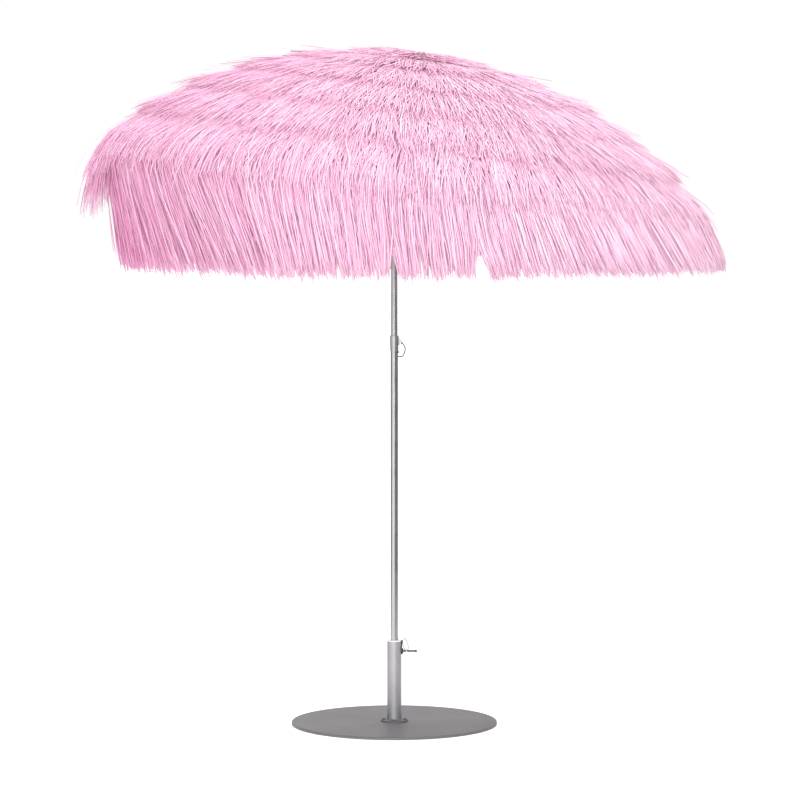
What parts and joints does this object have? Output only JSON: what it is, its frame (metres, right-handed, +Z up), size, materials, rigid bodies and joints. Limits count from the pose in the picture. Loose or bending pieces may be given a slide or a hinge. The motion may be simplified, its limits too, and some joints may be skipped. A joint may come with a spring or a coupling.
{
  "type": "beach parasol",
  "caption": "Thatched beach parasol with a long raffia fringe on a telescoping, tilting steel pole in a round steel plate base.",
  "frame": {"origin": "centre of the round base plate's underside, on the pole's axis", "axes": "+Z up along the lower pole; the canopy leans towards +X"},
  "size_m": [1.81, 1.8098, 1.963],
  "materials": {
    "plate_steel": "satin grey steel plate with fine scuffs",
    "tube_steel": "satin steel tube",
    "pole_steel": "bright drawn steel tube with fine lengthwise lines",
    "zinc": "zinc plated wire and fasteners",
    "collar_steel": "pressed zinc plated steel",
    "black_metal": "black painted welded nut",
    "black_plastic": "moulded black plastic",
    "white_plastic": "moulded white plastic",
    "rib_steel": "light grey coated steel rod",
    "raffia": "pink glossy synthetic raffia strips sewn in overlapping rows on a pink woven lining",
    "fringe": "long loose pink synthetic raffia strips"
  },
  "bodies": {
    "base": {"base_plate": "plate_steel", "foot_flange": "plate_steel", "flange_screws": "zinc", "base_tube": "tube_steel", "tube_foot_cup": "black_plastic", "clamp_boss": "black_metal"},
    "insert": {"reducer_insert": "white_plastic"},
    "clamp_screw": {"clamp_screw": "zinc"},
    "clamp_ring": {"clamp_ring": "zinc"},
    "lower_mast": {"lower_pole": "pole_steel", "pole_foot_plug": "black_plastic", "pole_rivet": "zinc", "pole_collar": "collar_steel"},
    "height_pin": {"height_pin": "zinc"},
    "upper_mast": {"upper_pole": "pole_steel", "upper_pole_bush": "black_plastic", "tilt_lower_knuckle": "collar_steel", "tilt_pin": "zinc"},
    "tilt_button": {"tilt_button": "black_plastic"},
    "canopy": {"tilt_upper_knuckle": "collar_steel", "canopy_pole": "pole_steel", "top_notch": "white_plastic", "notch_ring": "zinc", "top_cap": "white_plastic"},
    "runner": {"runner": "white_plastic"},
    "runner_latch": {"runner_latch": "black_plastic"},
    "rib_1": {"rib_1": "rib_steel", "thatch_1": "raffia"},
    "stretcher_1": {"stretcher_1": "rib_steel"},
    "valance_1": {"valance_1": "fringe"},
    "rib_2": {"rib_2": "rib_steel", "thatch_2": "raffia"},
    "stretcher_2": {"stretcher_2": "rib_steel"},
    "valance_2": {"valance_2": "fringe"},
    "rib_3": {"rib_3": "rib_steel", "thatch_3": "raffia"},
    "stretcher_3": {"stretcher_3": "rib_steel"},
    "valance_3": {"valance_3": "fringe"},
    "rib_4": {"rib_4": "rib_steel", "thatch_4": "raffia"},
    "stretcher_4": {"stretcher_4": "rib_steel"},
    "valance_4": {"valance_4": "fringe"},
    "rib_5": {"rib_5": "rib_steel", "thatch_5": "raffia"},
    "stretcher_5": {"stretcher_5": "rib_steel"},
    "valance_5": {"valance_5": "fringe"},
    "rib_6": {"rib_6": "rib_steel", "thatch_6": "raffia"},
    "stretcher_6": {"stretcher_6": "rib_steel"},
    "valance_6": {"valance_6": "fringe"},
    "rib_7": {"rib_7": "rib_steel", "thatch_7": "raffia"},
    "stretcher_7": {"stretcher_7": "rib_steel"},
    "valance_7": {"valance_7": "fringe"},
    "rib_8": {"rib_8": "rib_steel", "thatch_8": "raffia"},
    "stretcher_8": {"stretcher_8": "rib_steel"},
    "valance_8": {"valance_8": "fringe"}
  },
  "joints": [
    {"name": "pole_swivel", "type": "hinge", "parent": "base", "child": "insert", "pos_m": [0, 0, 0.243], "axis": [0, 0, 1], "continuous": true},
    {"name": "pole_lift", "type": "slide", "parent": "insert", "child": "lower_mast", "axis": [0, 0, 1], "range_m": [0, 0.235]},
    {"name": "clamp_screw_turn", "type": "hinge", "parent": "base", "child": "clamp_screw", "pos_m": [0.045, 0, 0.214], "axis": [1, 0, 0], "continuous": true},
    {"name": "clamp_ring_swing", "type": "hinge", "parent": "clamp_screw", "child": "clamp_ring", "pos_m": [0.036, 0, 0.214], "axis": [0, 1, 0], "range_deg": [0, 160]},
    {"name": "height_pin_swing", "type": "hinge", "parent": "lower_mast", "child": "height_pin", "pos_m": [0.0205, 0, 1.117], "axis": [0, -1, 0], "range_deg": [0, 75]},
    {"name": "height_slide", "type": "slide", "parent": "lower_mast", "child": "upper_mast", "axis": [0, 0, 1], "range_m": [-0.18, 0.15]},
    {"name": "tilt_button_press", "type": "slide", "parent": "upper_mast", "child": "tilt_button", "axis": [1, 0, 0], "range_m": [0, 0.002], "stiffness_N_per_m": 400},
    {"name": "canopy_tilt", "type": "hinge", "parent": "upper_mast", "child": "canopy", "pos_m": [0, 0, 1.365], "axis": [0, 1, 0], "range_deg": [-7.5, 22.5]},
    {"name": "runner_slide", "type": "slide", "parent": "canopy", "child": "runner", "axis": [-0.1305, 0, -0.9914], "range_m": [0, 0.36255]},
    {"name": "runner_latch_pull", "type": "slide", "parent": "runner", "child": "runner_latch", "axis": [0.3794, -0.9239, -0.05], "range_m": [0, 0.003], "stiffness_N_per_m": 400},
    {"name": "rib_1_fold", "type": "hinge", "parent": "canopy", "child": "rib_1", "pos_m": [0.09491, 0, 1.91734], "axis": [0, 1, 0], "range_deg": [0, 56.5], "deforming": ["thatch_1"]},
    {"name": "stretcher_1_swing", "type": "hinge", "parent": "rib_1", "child": "stretcher_1", "pos_m": [0.3491, 0, 1.84503], "axis": [0, 1, 0], "range_deg": [-103.32, 0]},
    {"name": "valance_1_hang", "type": "hinge", "parent": "rib_1", "child": "valance_1", "pos_m": [0.89533, 0, 1.50038], "axis": [0, 1, 0], "range_deg": [-56.5, 0], "deforming": ["valance_1"]},
    {"name": "rib_2_fold", "type": "hinge", "parent": "canopy", "child": "rib_2", "pos_m": [0.08852, 0.01556, 1.91818], "axis": [-0.7011, 0.7071, 0.0923], "range_deg": [0, 56.5], "deforming": ["thatch_2"]},
    {"name": "stretcher_2_swing", "type": "hinge", "parent": "rib_2", "child": "stretcher_2", "pos_m": [0.26679, 0.20044, 1.85587], "axis": [-0.7011, 0.7071, 0.0923], "range_deg": [-103.32, 0]},
    {"name": "valance_2_hang", "type": "hinge", "parent": "rib_2", "child": "valance_2", "pos_m": [0.64269, 0.61518, 1.53364], "axis": [-0.7011, 0.7071, 0.0923], "range_deg": [-56.5, 0], "deforming": ["valance_2"]},
    {"name": "rib_3_fold", "type": "hinge", "parent": "canopy", "child": "rib_3", "pos_m": [0.07309, 0.022, 1.92021], "axis": [-0.9914, 0, 0.1305], "range_deg": [0, 56.5], "deforming": ["thatch_3"]},
    {"name": "stretcher_3_swing", "type": "hinge", "parent": "rib_3", "child": "stretcher_3", "pos_m": [0.06807, 0.28346, 1.88203], "axis": [-0.9914, 0, 0.1305], "range_deg": [-103.32, 0]},
    {"name": "valance_3_hang", "type": "hinge", "parent": "rib_3", "child": "valance_3", "pos_m": [0.03277, 0.87, 1.61393], "axis": [-0.9914, 0, 0.1305], "range_deg": [-56.5, 0], "deforming": ["valance_3"]},
    {"name": "rib_4_fold", "type": "hinge", "parent": "canopy", "child": "rib_4", "pos_m": [0.05767, 0.01556, 1.92224], "axis": [-0.7011, -0.7071, 0.0923], "range_deg": [0, 56.5], "deforming": ["thatch_4"]},
    {"name": "stretcher_4_swing", "type": "hinge", "parent": "rib_4", "child": "stretcher_4", "pos_m": [-0.13065, 0.20044, 1.90819], "axis": [-0.7011, -0.7071, 0.0923], "range_deg": [-103.32, 0]},
    {"name": "valance_4_hang", "type": "hinge", "parent": "rib_4", "child": "valance_4", "pos_m": [-0.57715, 0.61518, 1.69423], "axis": [-0.7011, -0.7071, 0.0923], "range_deg": [-56.5, 0], "deforming": ["valance_4"]},
    {"name": "rib_5_fold", "type": "hinge", "parent": "canopy", "child": "rib_5", "pos_m": [0.05128, 0, 1.92308], "axis": [0, -1, 0], "range_deg": [0, 56.5], "deforming": ["thatch_5"]},
    {"name": "stretcher_5_swing", "type": "hinge", "parent": "rib_5", "child": "stretcher_5", "pos_m": [-0.21297, 0, 1.91903], "axis": [0, -1, 0], "range_deg": [-103.32, 0]},
    {"name": "valance_5_hang", "type": "hinge", "parent": "rib_5", "child": "valance_5", "pos_m": [-0.82978, 0, 1.72749], "axis": [0, -1, 0], "range_deg": [-56.5, 0], "deforming": ["valance_5"]},
    {"name": "rib_6_fold", "type": "hinge", "parent": "canopy", "child": "rib_6", "pos_m": [0.05767, -0.01556, 1.92224], "axis": [0.7011, -0.7071, -0.0923], "range_deg": [0, 56.5], "deforming": ["thatch_6"]},
    {"name": "stretcher_6_swing", "type": "hinge", "parent": "rib_6", "child": "stretcher_6", "pos_m": [-0.13065, -0.20044, 1.90819], "axis": [0.7011, -0.7071, -0.0923], "range_deg": [-103.32, 0]},
    {"name": "valance_6_hang", "type": "hinge", "parent": "rib_6", "child": "valance_6", "pos_m": [-0.57715, -0.61518, 1.69423], "axis": [0.7011, -0.7071, -0.0923], "range_deg": [-56.5, 0], "deforming": ["valance_6"]},
    {"name": "rib_7_fold", "type": "hinge", "parent": "canopy", "child": "rib_7", "pos_m": [0.07309, -0.022, 1.92021], "axis": [0.9914, 0, -0.1305], "range_deg": [0, 56.5], "deforming": ["thatch_7"]},
    {"name": "stretcher_7_swing", "type": "hinge", "parent": "rib_7", "child": "stretcher_7", "pos_m": [0.06807, -0.28346, 1.88203], "axis": [0.9914, 0, -0.1305], "range_deg": [-103.32, 0]},
    {"name": "valance_7_hang", "type": "hinge", "parent": "rib_7", "child": "valance_7", "pos_m": [0.03277, -0.87, 1.61393], "axis": [0.9914, 0, -0.1305], "range_deg": [-56.5, 0], "deforming": ["valance_7"]},
    {"name": "rib_8_fold", "type": "hinge", "parent": "canopy", "child": "rib_8", "pos_m": [0.08852, -0.01556, 1.91818], "axis": [0.7011, 0.7071, -0.0923], "range_deg": [0, 56.5], "deforming": ["thatch_8"]},
    {"name": "stretcher_8_swing", "type": "hinge", "parent": "rib_8", "child": "stretcher_8", "pos_m": [0.26679, -0.20044, 1.85587], "axis": [0.7011, 0.7071, -0.0923], "range_deg": [-103.32, 0]},
    {"name": "valance_8_hang", "type": "hinge", "parent": "rib_8", "child": "valance_8", "pos_m": [0.64269, -0.61518, 1.53364], "axis": [0.7011, 0.7071, -0.0923], "range_deg": [-56.5, 0], "deforming": ["valance_8"]}
  ],
  "couplings": [
    {"joint": "rib_1_fold", "follows": "runner_slide", "rad_per_m": 2.7199},
    {"joint": "stretcher_1_swing", "follows": "runner_slide", "rad_per_m": -4.9739},
    {"joint": "valance_1_hang", "follows": "runner_slide", "rad_per_m": -2.7199},
    {"joint": "rib_2_fold", "follows": "runner_slide", "rad_per_m": 2.7199},
    {"joint": "stretcher_2_swing", "follows": "runner_slide", "rad_per_m": -4.9739},
    {"joint": "valance_2_hang", "follows": "runner_slide", "rad_per_m": -2.7199},
    {"joint": "rib_3_fold", "follows": "runner_slide", "rad_per_m": 2.7199},
    {"joint": "stretcher_3_swing", "follows": "runner_slide", "rad_per_m": -4.9739},
    {"joint": "valance_3_hang", "follows": "runner_slide", "rad_per_m": -2.7199},
    {"joint": "rib_4_fold", "follows": "runner_slide", "rad_per_m": 2.7199},
    {"joint": "stretcher_4_swing", "follows": "runner_slide", "rad_per_m": -4.9739},
    {"joint": "valance_4_hang", "follows": "runner_slide", "rad_per_m": -2.7199},
    {"joint": "rib_5_fold", "follows": "runner_slide", "rad_per_m": 2.7199},
    {"joint": "stretcher_5_swing", "follows": "runner_slide", "rad_per_m": -4.9739},
    {"joint": "valance_5_hang", "follows": "runner_slide", "rad_per_m": -2.7199},
    {"joint": "rib_6_fold", "follows": "runner_slide", "rad_per_m": 2.7199},
    {"joint": "stretcher_6_swing", "follows": "runner_slide", "rad_per_m": -4.9739},
    {"joint": "valance_6_hang", "follows": "runner_slide", "rad_per_m": -2.7199},
    {"joint": "rib_7_fold", "follows": "runner_slide", "rad_per_m": 2.7199},
    {"joint": "stretcher_7_swing", "follows": "runner_slide", "rad_per_m": -4.9739},
    {"joint": "valance_7_hang", "follows": "runner_slide", "rad_per_m": -2.7199},
    {"joint": "rib_8_fold", "follows": "runner_slide", "rad_per_m": 2.7199},
    {"joint": "stretcher_8_swing", "follows": "runner_slide", "rad_per_m": -4.9739},
    {"joint": "valance_8_hang", "follows": "runner_slide", "rad_per_m": -2.7199}
  ]
}
